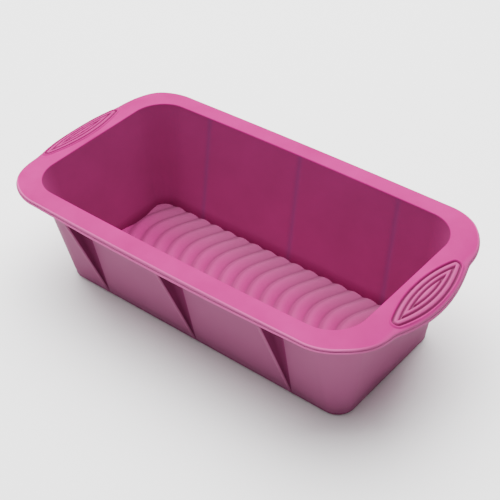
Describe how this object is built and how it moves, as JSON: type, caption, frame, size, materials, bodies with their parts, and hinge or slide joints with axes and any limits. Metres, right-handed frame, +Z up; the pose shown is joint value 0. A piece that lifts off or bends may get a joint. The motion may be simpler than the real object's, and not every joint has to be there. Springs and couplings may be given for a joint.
{
  "type": "soap loaf mould",
  "caption": "Flexible silicone loaf mould with drafted walls, a wavy ribbed floor, a flat rim, end grips and gussets under the rim.",
  "frame": {"origin": "centre of the flat underside of the base, on the surface the mould rests on", "axes": "+X along the length towards the right-hand grip, +Y across the width towards the back, +Z up out of the opening"},
  "size_m": [0.2746, 0.1386, 0.0746],
  "materials": {
    "silicone": "satin raspberry-pink silicone rubber"
  },
  "bodies": {
    "tub": {"floor_panel": "silicone", "left_end_wall": "silicone", "right_end_wall": "silicone", "left_end_rim": "silicone", "right_end_rim": "silicone", "front_left_corner_wall": "silicone", "front_left_rim_corner": "silicone", "front_right_corner_wall": "silicone", "front_right_rim_corner": "silicone", "back_left_corner_wall": "silicone", "back_left_rim_corner": "silicone", "back_right_corner_wall": "silicone", "back_right_rim_corner": "silicone"},
    "front_side": {"front_wall": "silicone", "front_rim": "silicone", "front_left_gusset": "silicone", "front_centre_gusset": "silicone", "front_right_gusset": "silicone"},
    "back_side": {"back_wall": "silicone", "back_rim": "silicone", "back_left_gusset": "silicone", "back_centre_gusset": "silicone", "back_right_gusset": "silicone"},
    "left_handle": {"left_grip": "silicone"},
    "right_handle": {"right_grip": "silicone"}
  },
  "joints": [
    {"name": "front_wall_flex", "type": "hinge", "parent": "tub", "child": "front_side", "pos_m": [0, -0.0439, 0.00245], "axis": [1, 0, 0], "range_deg": [-8, 12], "stiffness_Nm_per_rad": 1.5},
    {"name": "back_wall_flex", "type": "hinge", "parent": "tub", "child": "back_side", "pos_m": [0, 0.0439, 0.00245], "axis": [-1, 0, 0], "range_deg": [-8, 12], "stiffness_Nm_per_rad": 1.5},
    {"name": "left_grip_flex", "type": "hinge", "parent": "tub", "child": "left_handle", "pos_m": [-0.1189, 0, 0.072], "axis": [0, -1, 0], "range_deg": [-35, 35], "stiffness_Nm_per_rad": 0.14},
    {"name": "right_grip_flex", "type": "hinge", "parent": "tub", "child": "right_handle", "pos_m": [0.1189, 0, 0.072], "axis": [0, 1, 0], "range_deg": [-35, 35], "stiffness_Nm_per_rad": 0.14}
  ]
}
